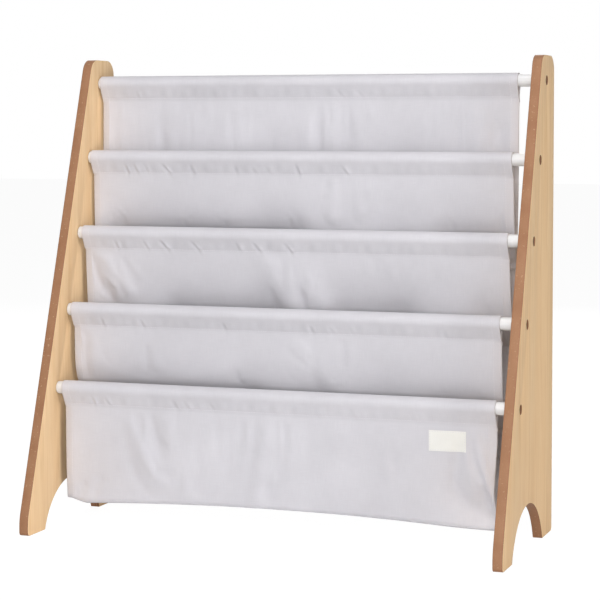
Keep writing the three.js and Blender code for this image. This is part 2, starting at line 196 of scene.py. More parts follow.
POCKET_FOLDS = (
    (
        (-0.250, 0.084, -0.023, 0.084, 0.030, -0.0150),
        (-0.165, 0.074, -0.115, 0.074, 0.018, -0.0030),
        (0.205, 0.084, 0.255, 0.080, 0.030, -0.0130),
        (0.041, 0.010, 0.041, 0.055, 0.010, 0.0022),
        (0.033, 0.006, 0.034, 0.014, 0.007, -0.0014),
        (0.102, 0.006, 0.081, 0.045, 0.016, 0.0024),
    ),
    (
        (-0.268, 0.005, -0.230, 0.053, 0.012, 0.0038),
        (-0.261, 0.058, -0.256, 0.068, 0.015, -0.0036),
        (-0.283, 0.045, 0.270, 0.045, 0.035, -0.0030),
        (-0.159, 0.083, -0.039, 0.083, 0.026, -0.0130),
        (-0.038, 0.000, -0.008, 0.061, 0.018, 0.0030),
        (-0.028, 0.056, -0.026, 0.066, 0.010, -0.0017),
        (0.009, 0.058, 0.010, 0.068, 0.009, -0.0030),
        (0.021, 0.036, 0.040, 0.068, 0.011, 0.0022),
        (0.070, 0.082, 0.140, 0.082, 0.024, -0.0100),
        (0.256, 0.074, 0.272, 0.070, 0.024, -0.0090),
        (0.099, 0.004, 0.099, 0.020, 0.009, 0.0014),
        (0.128, 0.004, 0.128, 0.020, 0.009, 0.0014),
        (0.193, 0.004, 0.193, 0.020, 0.009, 0.0014),
    ),
    (
        (-0.283, 0.052, 0.270, 0.052, 0.035, 0.0048),
        (-0.283, 0.088, -0.050, 0.090, 0.024, -0.0060),
        (-0.065, 0.060, -0.065, 0.068, 0.010, -0.0020),
        (-0.278, 0.000, -0.276, 0.060, 0.008, -0.0016),
        (-0.188, 0.030, -0.188, 0.052, 0.006, -0.0012),
        (0.033, 0.034, 0.044, 0.071, 0.009, -0.0014),
        (0.020, 0.015, 0.064, 0.064, 0.017, 0.0020),
        (0.077, 0.012, 0.077, 0.036, 0.006, -0.0014),
        (0.205, 0.015, 0.206, 0.022, 0.010, -0.0014),
        (0.205, 0.084, 0.245, 0.084, 0.024, -0.0040),
    ),
    (
        (-0.184, 0.022, -0.160, 0.048, 0.016, -0.0028),
        (-0.160, 0.048, -0.144, 0.082, 0.016, -0.0022),
        (-0.147, 0.009, -0.119, 0.109, 0.016, 0.0026),
        (-0.078, 0.025, -0.078, 0.040, 0.014, -0.0014),
        (-0.046, 0.018, -0.046, 0.030, 0.010, -0.0014),
        (-0.010, 0.002, -0.028, 0.104, 0.013, 0.0030),
        (0.012, 0.018, 0.012, 0.030, 0.010, -0.0012),
        (-0.014, 0.095, -0.012, 0.108, 0.012, -0.0020),
        (0.080, 0.025, 0.084, 0.070, 0.030, 0.0024),
        (0.154, 0.055, 0.156, 0.070, 0.018, -0.0016),
        (0.232, 0.086, 0.262, 0.092, 0.018, -0.0070),
        (0.285, 0.030, 0.285, 0.110, 0.038, -0.0110),
        (-0.271, 0.120, -0.263, 0.106, 0.005, -0.0018),
        (-0.249, 0.114, -0.240, 0.098, 0.006, -0.0014),
    ),
)

# Creases in the channels, each a hollow beside a raised lip, as (x, slant, width, height)
CREASE_ABOVE_SEAM = 0.0045
CREASE_REACH = 0.0060
CREASE_LIP_SHARE = 0.8
CREASE_HOLLOW_SHIFT = 0.4
BACK_CREASES = (
    (-0.242, -0.1, 0.0026, 0.0008), (0.045, -0.6, 0.0030, 0.0005), (0.071, -0.6, 0.0030, 0.0005),
)
POCKET_CREASES = (
    (
        (-0.243, -0.1, 0.0024, 0.0018), (-0.229, -0.2, 0.0024, 0.0012), (-0.214, -0.2, 0.0024, 0.0006),
        (-0.184, -0.5, 0.0028, 0.0021), (-0.150, -0.1, 0.0028, 0.0014), (-0.089, -0.1, 0.0030, 0.0007),
        (-0.064, -0.2, 0.0036, 0.0006), (-0.044, -0.2, 0.0036, 0.0005), (-0.004, -0.1, 0.0026, 0.0020),
        (0.061, -0.4, 0.0030, 0.0012),
    ),
    (
        (-0.243, -0.1, 0.0024, 0.0014), (-0.200, -0.3, 0.0024, 0.0012), (-0.172, -0.6, 0.0030, 0.0022),
        (-0.129, -0.6, 0.0028, 0.0020), (-0.072, -0.2, 0.0028, 0.0008), (-0.045, -0.5, 0.0030, 0.0013),
        (-0.003, -0.5, 0.0028, 0.0018),
    ),
    (
        (-0.248, -0.1, 0.0024, 0.0010), (-0.192, -0.2, 0.0026, 0.0010), (-0.079, -0.2, 0.0028, 0.0008),
        (0.038, -0.2, 0.0030, 0.0009), (0.064, -0.2, 0.0030, 0.0006), (0.090, -0.2, 0.0030, 0.0005),
        (0.209, -0.1, 0.0030, 0.0005),
    ),
    (
        (-0.246, -0.1, 0.0024, 0.0014), (-0.226, -0.2, 0.0026, 0.0009), (-0.132, -0.3, 0.0030, 0.0008),
        (-0.116, -0.3, 0.0030, 0.0007), (-0.082, -0.3, 0.0030, 0.0006), (0.103, -0.2, 0.0030, 0.0004),
        (0.179, -0.2, 0.0030, 0.0004),
    ),
)

# The label, a small woven patch
LABEL_THICKNESS = 0.0004
LABEL_GAP = 0.00005
LABEL_SEARCH = 0.030
LABEL_STITCH_INSET = 0.0014
LABEL_WEAVE_PITCH = 0.00035
LABEL_COLUMNS = 40
LABEL_ROWS = 24

# Colours as they show on screen, from 0 to 255, the darkest first except in the laminate's grain
LAMINATE_SHADES = ((235, 198, 152), (243, 208, 163), (247, 214, 171), (240, 205, 159))
LAMINATE_DRIFT = (240, 218, 190)
LAMINATE_PORE = (214, 172, 122)
EDGE_SHADES = ((151, 106, 75), (162, 118, 86))
EDGE_FLECK = (206, 172, 138)
EDGE_FIBRE = (122, 82, 56)
EDGE_GLUE = (112, 76, 52)
ROD_SHADES = ((215, 216, 217), (228, 228, 231))
BRONZE_SHADES = ((92, 70, 42), (140, 110, 70))
BRASS_SHADES = ((186, 156, 96), (214, 188, 128))
CLOTH_SHADES = ((206, 204, 209), (214, 212, 217))
LABEL_SHADES = ((233, 232, 227), (248, 247, 243))
THREAD_SHADES = ((204, 202, 207), (224, 222, 226))

# Studio. Each lamp is (name, place, width, watts).
SURROUND_COLOUR = (1.0, 1.0, 1.0, 1)
SURROUND_STRENGTH = 0.10
FLOOR_SIZE = 30.0
FLOOR_COLOUR = (0.9, 0.9, 0.9, 1)
FLOOR_WHITE_SHARE = 0.85
FLOOR_WHITE = 1.12
LAMPS = (
    ("front_lamp", (0.6, -2.8, 0.9), 1.4, 52.5),
    ("top_lamp", (0.0, -1.0, 3.0), 1.6, 36.0),
    ("low_side_lamp", (3.4, -0.98, 0.2), 1.0, 42.0),
    ("back_lamp", (-0.5, 2.6, 1.4), 1.4, 24.0),
)


# Places taken from the frame

def rod_axis(number):
    low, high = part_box(f"rod_{number}")
    return Vector(((low.y + high.y) / 2, (low.z + high.z) / 2))


rods = [rod_axis(number) for number in range(1, ROD_COUNT + 1)]
rod_low, rod_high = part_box("rod_1")
rod_radius = (rod_high.z - rod_low.z) / 2
panel_low, panel_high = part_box("right_side_panel")
board = panel_high.x - panel_low.x
rod_pitch = rods[0].y - rods[1].y
rod_step_depth = rods[0].x - rods[1].x
lowest_seam_height = LOWEST_FOLD_HEIGHT + LOWEST_SEAM_SHARE * (rods[-1].y - LOWEST_FOLD_HEIGHT)
front_slope = (panel_high.y - panel_low.y - PANEL_TOP_DEPTH) / (panel_high.z - TOE_HEIGHT)
TO_FRONT = Vector((0, -1, 0))
TO_BACK = Vector((0, 1, 0))


# Making and finishing meshes

def linked(name, data):
    """An object of the scene for a mesh, a lamp or a camera."""
    made = bpy.data.objects.new(name, data)
    bpy.context.scene.collection.objects.link(made)
    return made


def mesh_from_bmesh(name, shape):
    mesh = bpy.data.meshes.new(name)
    shape.to_mesh(mesh)
    shape.free()
    return mesh


def mesh_from_lists(name, points, faces, edges=()):
    mesh = bpy.data.meshes.new(name)
    mesh.from_pydata([tuple(p) for p in points], edges, faces)
    mesh.update()
    return mesh


def applied(piece):
    """Turns a piece with modifiers into a plain mesh."""
    graph = bpy.context.evaluated_depsgraph_get()
    mesh = bpy.data.meshes.new_from_object(piece.evaluated_get(graph), depsgraph=graph)
    piece.modifiers.clear()
    piece.data = mesh
    return piece


def cut_out(piece, mesh):
    """Cuts a solid out of a piece."""
    cutter = linked(mesh.name, mesh)
    cut = piece.modifiers.new(mesh.name, "BOOLEAN")
    cut.object = cutter
    cut.solver = "EXACT"
    applied(piece)
    bpy.data.objects.remove(cutter)


def thickened(piece, thickness):
    """The modifier that gives a sheet its thickness behind its front face."""
    shell = piece.modifiers.new("thickness", "SOLIDIFY")
    shell.thickness = thickness
    shell.offset = -1
    return shell


def smooth(piece):
    """Smooth shading, with sharp edges where faces meet at more than the limit."""
    mesh = piece.data
    mesh.polygons.foreach_set("use_smooth", [True] * len(mesh.polygons))
    shape = bmesh.new()
    shape.from_mesh(mesh)
    for edge in shape.edges:
        edge.smooth = len(edge.link_faces) < 2 or edge.calc_face_angle(0) < SMOOTH_ANGLE
    shape.to_mesh(mesh)
    shape.free()
    return piece


def finished(piece, material_slot, *replaced):
    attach(piece, "root")
    if replaced:
        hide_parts(*replaced)
    return piece


def turned(name, profile, steps=ROUND_STEPS):
    """A body of revolution about X, from (radius, place along X) pairs that start and end on the axis."""
    rings = profile[1:-1]
    points = [(profile[0][1], 0, 0)]
    for radius, along in rings:
        for k in range(steps):
            angle = 2 * math.pi * k / steps
            points.append((along, radius * math.cos(angle), radius * math.sin(angle)))
    points.append((profile[-1][1], 0, 0))
    last = len(points) - 1
    faces = []
    for k in range(steps):
        after = (k + 1) % steps
        faces.append((0, 1 + after, 1 + k))
        end = 1 + (len(rings) - 1) * steps
        faces.append((last, end + k, end + after))
        for r in range(len(rings) - 1):
            a, b = 1 + r * steps + k, 1 + r * steps + after
            faces.append((a, b, b + steps, a + steps))
    mesh = mesh_from_lists(name, points, faces)
    shape = bmesh.new()
    shape.from_mesh(mesh)
    bmesh.ops.recalc_face_normals(shape, faces=shape.faces)
    shape.to_mesh(mesh)
    shape.free()
    return mesh


# Nodes. Some sockets share their names, so they are known by their places.

MIX_FACTOR, MIX_FIRST, MIX_SECOND, MIX_RESULT = 0, 6, 7, 2
RANDOM_LOW, RANDOM_HIGH, RANDOM_RESULT = 2, 3, 1


def filled(tree, node, inputs):
    """Links a node's inputs to sockets or sets them to values."""
    for key, value in inputs.items():
        if isinstance(value, bpy.types.NodeSocket):
            tree.links.new(value, node.inputs[key])
        else:
            node.inputs[key].default_value = value
    return node


def add_node(tree, kind, inputs=None, **settings):
    made = tree.nodes.new(kind)
    for key, value in settings.items():
        setattr(made, key, value)
    return filled(tree, made, inputs or {})


def maths(tree, operation, first, second=0.0):
    return add_node(tree, "ShaderNodeMath", {0: first, 1: second}, operation=operation).outputs[0]


# Materials

def colour(red, green, blue):
    """A colour written as it shows on screen, from 0 to 255, in the values that the shaders take."""
    shares = (c / 255 for c in (red, green, blue))
    return (*(s / 12.92 if s <= 0.04045 else ((s + 0.055) / 1.055) ** 2.4 for s in shares), 1)


class Finish:
    """A material with a few short ways to add nodes to it."""

    def __init__(self, name):
        self.material = bpy.data.materials.new(name)
        self.material.use_nodes = True
        self.tree = self.material.node_tree

    def place(self, source, scale=(1, 1, 1)):
        """Object or UV coordinates, scaled."""
        coordinates = add_node(self.tree, "ShaderNodeTexCoord").outputs[source]
        return add_node(self.tree, "ShaderNodeMapping", {"Vector": coordinates, "Scale": scale}).outputs[0]

    def noise(self, vector, scale, detail, roughness=0.5, distortion=0.0):
        inputs = {"Vector": vector, "Scale": scale, "Detail": detail, "Roughness": roughness}
        inputs["Distortion"] = distortion
        return add_node(self.tree, "ShaderNodeTexNoise", inputs).outputs["Fac"]

    def ramp(self, factor, places, shades):
        """Screen colours at places from 0 to 1."""
        made = add_node(self.tree, "ShaderNodeValToRGB", {"Fac": factor})
        stops = made.color_ramp.elements
        while len(stops) < len(places):
            stops.new(0)
        for stop, place, shade in zip(stops, places, shades):
            stop.position = place
            stop.color = colour(*shade)
        return made.outputs["Color"]

    def spread(self, value, low, high, from_low=0.0, from_high=1.0):
        inputs = {"Value": value, "From Min": from_low, "From Max": from_high, "To Min": low, "To Max": high}
        return add_node(self.tree, "ShaderNodeMapRange", inputs).outputs["Result"]

    def mixed(self, factor, first, shade, blend="MIX"):
        """A colour blended with a screen colour."""
        inputs = {MIX_FACTOR: factor, MIX_FIRST: first, MIX_SECOND: colour(*shade)}
        made = add_node(self.tree, "ShaderNodeMix", inputs, data_type="RGBA", blend_type=blend)
        return made.outputs[MIX_RESULT]

    def maths(self, operation, first, second=0.0):
        return maths(self.tree, operation, first, second)

    def bump(self, height, distance, strength, **under):
        inputs = {"Height": height, "Distance": distance, "Strength": strength, **under}
        return add_node(self.tree, "ShaderNodeBump", inputs).outputs["Normal"]

    def shaded(self, inputs):
        """The material, with these inputs of its shader."""
        filled(self.tree, self.tree.nodes["Principled BSDF"], inputs)
        return self.material


def laminate_finish():
    """Light wood-grain laminate on the faces of the boards, with the grain upright."""
    look = Finish("board_laminate")
    drift = look.noise(look.place("Object", (1, 9, 1.1)), scale=3.0, detail=3.0)
    figure = look.place("Object", (1, 34, 1.6))
    bands = look.noise(figure, scale=2.6, detail=4.0, roughness=0.55, distortion=1.1)
    pores = look.noise(look.place("Object", (1, 420, 9)), scale=2.0, detail=3.0, roughness=0.6)
    base = look.ramp(bands, (0.30, 0.46, 0.60, 0.74), LAMINATE_SHADES)
    drift_share = look.spread(drift, low=0.0, high=0.22, from_low=0.35, from_high=0.7)
    toned = look.mixed(drift_share, base, LAMINATE_DRIFT, "MULTIPLY")
    pore_share = look.spread(pores, low=0.24, high=0.0, from_low=0.30, from_high=0.48)
    return look.shaded({
        "Base Color": look.mixed(pore_share, toned, LAMINATE_PORE),
        "Roughness": look.spread(pores, low=0.50, high=0.62),
        "Normal": look.bump(pores, distance=0.00008, strength=0.35),
        "Specular IOR Level": 0.08,
    })


def board_edge_finish():
    """The bare brown edges of the boards: pressed fibre with fine light flecks and a dark line of glue."""
    look = Finish("board_edge")
    spot = look.place("Object")
    fibre = look.noise(spot, scale=900.0, detail=3.0, roughness=0.7)
    cloud = look.noise(spot, scale=26.0, detail=3.0)
    flecks = look.noise(spot, scale=420.0, detail=0.0)
    base = look.ramp(cloud, (0.35, 0.65), EDGE_SHADES)
    fleck_share = look.spread(flecks, low=0.0, high=0.40, from_low=0.74, from_high=0.80)
    flecked = look.mixed(fleck_share, base, EDGE_FLECK)
    fibre_share = look.spread(fibre, low=0.22, high=0.0, from_low=0.3, from_high=0.6)
    grained = look.mixed(fibre_share, flecked, EDGE_FIBRE)
    middle = (panel_low.x + panel_high.x) / 2
    x = add_node(look.tree, "ShaderNodeSeparateXYZ", {"Vector": spot}).outputs["X"]
    from_middle = look.maths("ABSOLUTE", look.maths("SUBTRACT", look.maths("ABSOLUTE", x), middle))
    face = board / 2
    glue_share = look.spread(from_middle, low=0.0, high=0.45, from_low=face - GLUE_LINE, from_high=face)
    return look.shaded({
        "Base Color": look.mixed(glue_share, grained, EDGE_GLUE),
        "Roughness": 0.62,
        "Normal": look.bump(fibre, distance=0.0001, strength=0.4),
        "Specular IOR Level": 0.35,
    })


def rod_finish():
    """White semi-gloss paint with a faint brushed waviness along the rod."""
    look = Finish("rod_white_paint")
    wave = look.noise(look.place("Object", (6, 260, 260)), scale=1.0, detail=2.0)
    film = look.noise(look.place("Object"), scale=700.0, detail=2.0)
    return look.shaded({
        "Base Color": look.ramp(wave, (0.3, 0.7), ROD_SHADES),
        "Roughness": look.spread(film, low=0.30, high=0.40),
        "Normal": look.bump(wave, distance=0.00006, strength=0.5),
        "Coat Weight": 0.15,
        "Coat Roughness": 0.2,
    })


def metal_finish(name, shades, smoothest, roughest):
    """Plated or turned metal with fine turning marks and duller patches."""
    look = Finish(name)
    spot = look.place("Object")
    patch = look.noise(spot, scale=180.0, detail=3.0)
    marks = look.noise(spot, scale=2600.0, detail=1.0)
    return look.shaded({
        "Base Color": look.ramp(patch, (0.35, 0.7), shades),
        "Roughness": look.spread(patch, smoothest, roughest),
        "Normal": look.bump(marks, distance=0.00003, strength=0.5),
        "Metallic": 1.0,
    })


def woven_finish(name, shades, sheen, pitch):
    """A plain weave along the cloth's own UV map, which is in metres, with slubs, faint uneven dyeing and
    painted shade in the gaps between the threads.
    """
    look = Finish(name)
    cloth = look.place("UV")
    split = add_node(look.tree, "ShaderNodeSeparateXYZ", {"Vector": cloth}).outputs
    turn = math.pi / pitch
    warp, weft = (look.maths("SINE", look.maths("MULTIPLY", split[axis], turn)) for axis in "XY")
    crossing = look.maths("MULTIPLY", warp, weft)
    slubs = look.noise(look.place("UV", (60, 1400, 1)), scale=1.0, detail=2.0)
    ends = look.noise(look.place("UV", (1400, 60, 1)), scale=1.0, detail=2.0)
    threads = look.maths("MULTIPLY", slubs, ends)
    dye = look.noise(cloth, scale=11.0, detail=3.0, roughness=0.55)
    base = look.ramp(dye, (0.32, 0.68), shades)
    thread_share = look.spread(threads, low=0.12, high=0.0, from_low=0.12, from_high=0.34)
    threaded = look.mixed(thread_share, base, shades[0], "MULTIPLY")
    # Painted shade: the colour is darkened in the gaps between the threads, where the weave's hollows lie in
    # shade.
    gap_shade_share = look.spread(look.maths("ABSOLUTE", crossing), low=0.08, high=0.0)
    thread_bump = look.bump(threads, distance=0.00010, strength=0.25)
    return look.shaded({
        "Base Color": look.mixed(gap_shade_share, threaded, shades[0], "MULTIPLY"),
        "Roughness": 0.78,
        "Normal": look.bump(crossing, distance=0.00007, strength=0.4, Normal=thread_bump),
        "Sheen Weight": sheen,
        "Sheen Roughness": 0.45,
        "Specular IOR Level": 0.3,
    })


def thread_finish():
    look = Finish("sewing_thread")
    ply = look.noise(look.place("Object"), scale=1500.0, detail=1.0)
    return look.shaded({
        "Base Color": look.ramp(ply, (0.35, 0.65), THREAD_SHADES),
        "Roughness": 0.6,
        "Normal": look.bump(ply, distance=0.00005, strength=0.5),
        "Sheen Weight": 0.1,
    })


laminate = laminate_finish()
board_edge = board_edge_finish()
rod_paint = rod_finish()
bolt_bronze = metal_finish("bolt_bronze", BRONZE_SHADES, smoothest=0.38, roughest=0.52)
insert_brass = metal_finish("insert_brass", BRASS_SHADES, smoothest=0.30, roughest=0.44)
sling_cloth = woven_finish("sling_cloth", CLOTH_SHADES, sheen=0.12, pitch=WEAVE_PITCH)
label_cloth = woven_finish("label_cloth", LABEL_SHADES, sheen=0.1, pitch=LABEL_WEAVE_PITCH)
thread = thread_finish()


# Side panels

def rounded_corner(before, corner, after, radius, steps):
    """Points of the arc that rounds a corner of an outline."""
    back = (before - corner).normalized()
    ahead = (after - corner).normalized()
    half_angle = math.acos(back.dot(ahead)) / 2
    setback = radius / math.tan(half_angle)
    centre = corner + (back + ahead).normalized() * (radius / math.sin(half_angle))
    start = corner + back * setback - centre
    end = corner + ahead * setback - centre
    sweep = start.angle_signed(end)
    return [centre + Matrix.Rotation(-sweep * k / steps, 2) @ start for k in range(steps + 1)]


def panel_outline():
    """The outline seen along X: over the arch to the rear, up to the top and down the sloping front."""
    depth = panel_high.y - panel_low.y
    height = panel_high.z
    arch_start = Vector((FRONT_FOOT, 0))
    arch_end = Vector((depth - REAR_FOOT, 0))
    half_span = (arch_end.x - arch_start.x) / 2
    arch_radius = (half_span**2 + ARCH_HEIGHT**2) / (2 * ARCH_HEIGHT)
    arch_centre = Vector((arch_start.x + half_span, ARCH_HEIGHT - arch_radius))
    half_sweep = math.atan2(half_span, arch_radius - ARCH_HEIGHT)
    arch = [
        arch_centre + arch_radius * Vector((math.sin(turn), math.cos(turn)))
        for turn in (half_sweep * (2 * k / ARCH_STEPS - 1) for k in range(ARCH_STEPS + 1))
    ]
    heel = Vector((depth, 0))
    top_rear = Vector((depth, height))
    top_front = Vector((depth - PANEL_TOP_DEPTH, height))
    toe_bend = Vector((0, TOE_HEIGHT))
    toe = Vector((0, 0))
    corners = [
        (arch_end, heel, top_rear, FOOT_RADIUS),
        (heel, top_rear, top_front, TOP_RADIUS),
        (top_rear, top_front, toe_bend, TOP_RADIUS),
        (top_front, toe_bend, toe, toe_bend_radius()),
        (toe_bend, toe, arch_start, FOOT_RADIUS),
    ]
    points = list(arch)
    for before, corner, after, radius in corners:
        points += rounded_corner(before, corner, after, radius, CORNER_STEPS)
    return [(p.x + panel_low.y, p.y) for p in points]


def toe_bend_radius():
    """The bend at the toe takes at most half of the short upright above the foot."""
    turn = math.atan(front_slope)
    return min(TOE_BEND_RADIUS, TOE_HEIGHT / 2 / math.tan(turn / 2))


def bolt_hole():
    """The stepped hole for a bolt along +X, from the panel's inner face outwards."""
    step = board - COUNTERBORE_DEPTH
    profile = [
        (0, -CUT_OVERRUN),
        (BOLT_HOLE_RADIUS, -CUT_OVERRUN),
        (BOLT_HOLE_RADIUS, step),
        (COUNTERBORE_RADIUS, step),
        (COUNTERBORE_RADIUS, board + CUT_OVERRUN),
        (0, board + CUT_OVERRUN),
    ]
    return turned("bolt_hole", profile)


def side_panel(side):
    """The left panel with side -1 and the right one with side 1."""
    side_name = "left" if side < 0 else "right"
    inner = side * panel_low.x
    shape = bmesh.new()
    face = shape.faces.new([shape.verts.new((inner, y, z)) for y, z in panel_outline()])
    grown = bmesh.ops.extrude_face_region(shape, geom=[face])
    moved = [v for v in grown["geom"] if isinstance(v, bmesh.types.BMVert)]
    bmesh.ops.translate(shape, verts=moved, vec=(side * board, 0, 0))
    bmesh.ops.recalc_face_normals(shape, faces=shape.faces)
    panel = linked(f"{side_name}_board", mesh_from_bmesh(f"{side_name}_board", shape))

    cutters = bmesh.new()
    for axis in rods:
        hole = bolt_hole()
        if side < 0:
            hole.transform(Matrix.Rotation(math.pi, 4, "Z"))
        hole.transform(Matrix.Translation((inner, axis.x, axis.y)))
        cutters.from_mesh(hole)
    cut_out(panel, mesh_from_bmesh("bolt_holes", cutters))

    ease = panel.modifiers.new("eased_edges", "BEVEL")
    ease.width = BOARD_EASE
    ease.segments = BOARD_EASE_STEPS
    ease.limit_method = "ANGLE"
    ease.angle_limit = BOARD_EASE_ANGLE
    applied(panel)
    smooth(panel)
    for finish in (laminate, board_edge):
        panel.data.materials.append(finish)
    for polygon in panel.data.polygons:
        polygon.material_index = 0 if abs(polygon.normal.x) > FLAT_FACE else 1
    return finished(panel, "side_panel_board", f"{side_name}_side_panel")


for panel_side in (-1, 1):
    side_panel(panel_side)


# Rods

def white_rod(number):
    """A rod with eased ends and a blind hole in each end for its insert."""
    _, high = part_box(f"rod_{number}")
    half = high.x
    right_end = [
        (rod_radius, half - ROD_END_EASE),
        (rod_radius - ROD_END_EASE, half),
        (ROD_BORE_RADIUS, half),
        (ROD_BORE_RADIUS, half - ROD_BORE_DEPTH),
        (0, half - ROD_BORE_DEPTH),
    ]
    left_end = [(radius, -along) for radius, along in reversed(right_end)]
    mesh = turned(f"white_rod_{number}", left_end + right_end)
    axis = rods[number - 1]
    mesh.transform(Matrix.Translation((0, axis.x, axis.y)))
    mesh.materials.append(rod_paint)
    piece = smooth(linked(f"white_rod_{number}", mesh))
    return finished(piece, "rod_paint", f"rod_{number}")


for rod_number in range(1, ROD_COUNT + 1):
    white_rod(rod_number)


# Geometry Nodes trees for what repeats

def new_tree(name, **inputs):
    """A tree and the sockets of its inputs: a geometry and what each name=(socket type, value) asks for."""
    tree = bpy.data.node_groups.new(name, "GeometryNodeTree")
    tree.interface.new_socket("Geometry", in_out="INPUT", socket_type="NodeSocketGeometry")
    for key, (kind, value) in inputs.items():
        label = key.replace("_", " ")
        socket = tree.interface.new_socket(label, in_out="INPUT", socket_type=f"NodeSocket{kind}")
        if value is not None:
            socket.default_value = value
    tree.interface.new_socket("Geometry", in_out="OUTPUT", socket_type="NodeSocketGeometry")
    tree.nodes.new("NodeGroupOutput")
    return tree, tree.nodes.new("NodeGroupInput").outputs


def grown_by(tree, name, base_mesh, material, **values):
    """A new plain mesh piece: what the tree makes of a base mesh with these inputs."""
    piece = linked(name, base_mesh)
    modifier = piece.modifiers.new(tree.name, "NODES")
    modifier.node_group = tree
    for item in tree.interface.items_tree:
        key = item.name.replace(" ", "_")
        if item.in_out == "INPUT" and key in values:
            modifier[item.identifier] = values[key]
        elif item.in_out == "INPUT" and item.socket_type == "NodeSocketMaterial":
            modifier[item.identifier] = material
    return applied(piece)


def chance_between(tree, low, high, seed):
    inputs = {RANDOM_LOW: low, RANDOM_HIGH: high, "Seed": seed}
    return add_node(tree, "FunctionNodeRandomValue", inputs, data_type="FLOAT").outputs[RANDOM_RESULT]


def put_on_points(tree, points, instance, material, **turn_and_scale):
    """Ends a tree with real, painted copies of a shape on points."""
    inputs = {"Points": points, "Instance": instance, **turn_and_scale}
    placed = add_node(tree, "GeometryNodeInstanceOnPoints", inputs).outputs[0]
    real = add_node(tree, "GeometryNodeRealizeInstances", {"Geometry": placed}).outputs[0]
    painted = add_node(tree, "GeometryNodeSetMaterial", {"Geometry": real, "Material": material}).outputs[0]
    filled(tree, tree.nodes["Group Output"], {"Geometry": painted})
    return tree


def turned_to(tree, axis, direction):
    """The rotation that turns an axis to a direction."""
    return add_node(tree, "FunctionNodeAlignRotationToVector", {"Vector": direction}, axis=axis).outputs[0]


def stitch_tree():
    """Puts a short rounded stitch at even steps along each line of a mesh of edges."""
    tree, given = new_tree(
        "running_stitches",
        Stitch_Length=("Float", STITCH_LENGTH),
        Stitch_Gap=("Float", STITCH_GAP),
        Thread_Thickness=("Float", THREAD_THICKNESS),
        Unevenness=("Float", STITCH_UNEVENNESS),
        Seed=("Int", 1),
        Thread=("Material", None),
    )
    pitch = maths(tree, "ADD", given["Stitch Length"], given["Stitch Gap"])
    lines = add_node(tree, "GeometryNodeMeshToCurve", {"Mesh": given["Geometry"]}).outputs[0]
    spaced = {"Curve": lines, "Length": pitch}
    points = add_node(tree, "GeometryNodeResampleCurve", spaced, mode="LENGTH").outputs[0]
    ball = {"Segments": 6, "Rings": 4, "Radius": 1 / 2}
    thickness = given["Thread Thickness"]
    size = {"X": thickness, "Y": thickness, "Z": given["Stitch Length"]}
    stitch = add_node(tree, "GeometryNodeTransform", {
        "Geometry": add_node(tree, "GeometryNodeMeshUVSphere", ball).outputs["Mesh"],
        "Scale": add_node(tree, "ShaderNodeCombineXYZ", size).outputs[0],
    }).outputs[0]
    rounded = add_node(tree, "GeometryNodeSetShadeSmooth", {"Geometry": stitch}).outputs[0]
    turn = turned_to(tree, "Z", add_node(tree, "GeometryNodeInputTangent").outputs[0])
    least = maths(tree, "SUBTRACT", 1, given["Unevenness"])
    scale = chance_between(tree, least, 1, given["Seed"])
    return put_on_points(tree, points, rounded, given["Thread"], Rotation=turn, Scale=scale)


def fastener_tree():
    """Puts a copy of a bolt at each point, facing outwards and turned by chance about its axis."""
    tree, given = new_tree(
        "recessed_bolts",
        Bolt=("Object", None),
        Most_Turn=("Float", 2 * math.pi / SOCKET_SIDES),
        Seed=("Int", 1),
        Plating=("Material", None),
    )
    bolt = add_node(tree, "GeometryNodeObjectInfo", {"Object": given["Bolt"]}).outputs["Geometry"]
    stored = add_node(tree, "GeometryNodeInputNamedAttribute", {"Name": "outward"}, data_type="FLOAT_VECTOR")
    facing = turned_to(tree, "X", stored.outputs["Attribute"])
    angle = chance_between(tree, 0, given["Most Turn"], given["Seed"])
    about_x = {"Axis": (1, 0, 0), "Angle": angle}
    spin = add_node(tree, "FunctionNodeAxisAngleToRotation", about_x).outputs[0]
    both = {"Rotation": facing, "Rotate By": spin}
    turn = add_node(tree, "FunctionNodeRotateRotation", both, rotation_space="LOCAL").outputs[0]
    return put_on_points(tree, given["Geometry"], bolt, given["Plating"], Rotation=turn)


# Bolts

def bolt_pattern():
    """One bolt along X, its head's underside at the origin, with a hexagon socket in its head."""
    low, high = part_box("panel_bolt_right_1")
    head_radius = (high.z - low.z) / 2
    top = BOLT_HEAD_HEIGHT
    tip = top - (high.x - low.x)
    profile = [
        (0, tip),
        (BOLT_SHANK_RADIUS - BOLT_HEAD_EASE, tip),
        (BOLT_SHANK_RADIUS, tip + BOLT_HEAD_EASE),
        (BOLT_SHANK_RADIUS, 0),
        (head_radius, 0),
        (head_radius, top - BOLT_HEAD_EASE),
        (head_radius - BOLT_HEAD_EASE / 3, top - BOLT_HEAD_EASE / 3),
        (head_radius - BOLT_HEAD_EASE, top),
        (0, top),
    ]
    bolt = linked("bolt_pattern", turned("bolt_pattern", profile))
    socket = [
        (0, top - SOCKET_DEPTH),
        (SOCKET_RADIUS, top - SOCKET_DEPTH),
        (SOCKET_RADIUS, top + CUT_OVERRUN),
        (0, top + CUT_OVERRUN),
    ]
    cut_out(bolt, turned("socket", socket, SOCKET_SIDES))
    return smooth(bolt)


def panel_bolts():
    """All ten bolts as one piece, each seated in its counterbore."""
    pattern = bolt_pattern()
    points = []
    directions = []
    replaced = []
    for side, side_name in ((-1, "left"), (1, "right")):
        for number, axis in enumerate(rods, 1):
            node = f"panel_bolt_{side_name}_{number}"
            low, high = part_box(node)
            outer = high.x if side > 0 else low.x
            points.append((outer - side * BOLT_HEAD_HEIGHT, axis.x, axis.y))
            directions += (side, 0, 0)
            replaced.append(node)
    seats = mesh_from_lists("panel_bolts", points, [])
    seats.attributes.new("outward", "FLOAT_VECTOR", "POINT").data.foreach_set("vector", directions)
    bolts = grown_by(fastener_tree(), "panel_bolts", seats, bolt_bronze, Bolt=pattern, Seed=BOLT_SEED)
    bpy.data.objects.remove(pattern)
    return finished(bolts, "bolt_bronze", *replaced)


panel_bolts()

